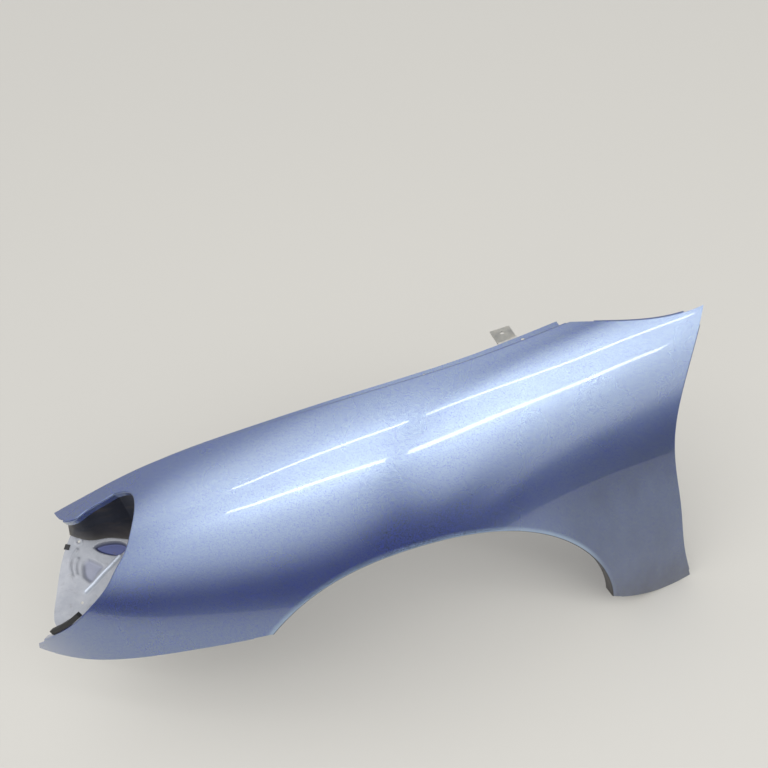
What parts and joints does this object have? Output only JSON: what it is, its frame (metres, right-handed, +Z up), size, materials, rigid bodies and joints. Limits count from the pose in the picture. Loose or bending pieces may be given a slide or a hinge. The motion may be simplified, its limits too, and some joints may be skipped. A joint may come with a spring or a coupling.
{
  "type": "car fender",
  "caption": "Left front car fender: one crowned stamped sheet with a wheel arch, turned flanges and a headlamp opening with its bucket.",
  "frame": {"origin": "centre of the flat underside of the cowl bracket's pad, where the panel bolts to the body", "axes": "+X to the rear of the car, +Y inboard, +Z up"},
  "size_m": [1.309, 0.4182, 0.5773],
  "materials": {
    "fender_paint": "light blue metallic under clear coat",
    "tray_primer": "pale grey-blue satin primer",
    "dark_primer": "dark satin primer",
    "black_rubber": "matt black",
    "plated_steel": "dull zinc plate"
  },
  "bodies": {
    "root": {"outer_skin": "fender_paint", "lamp_tray": "tray_primer", "lamp_side_wall": "dark_primer", "corner_packing": "black_rubber", "tray_clip": "black_rubber", "cowl_bracket": "plated_steel", "sill_bracket": "plated_steel", "seam_spring_nut_1": "plated_steel", "seam_spring_nut_2": "plated_steel", "seam_spring_nut_3": "plated_steel"}
  },
  "joints": []
}
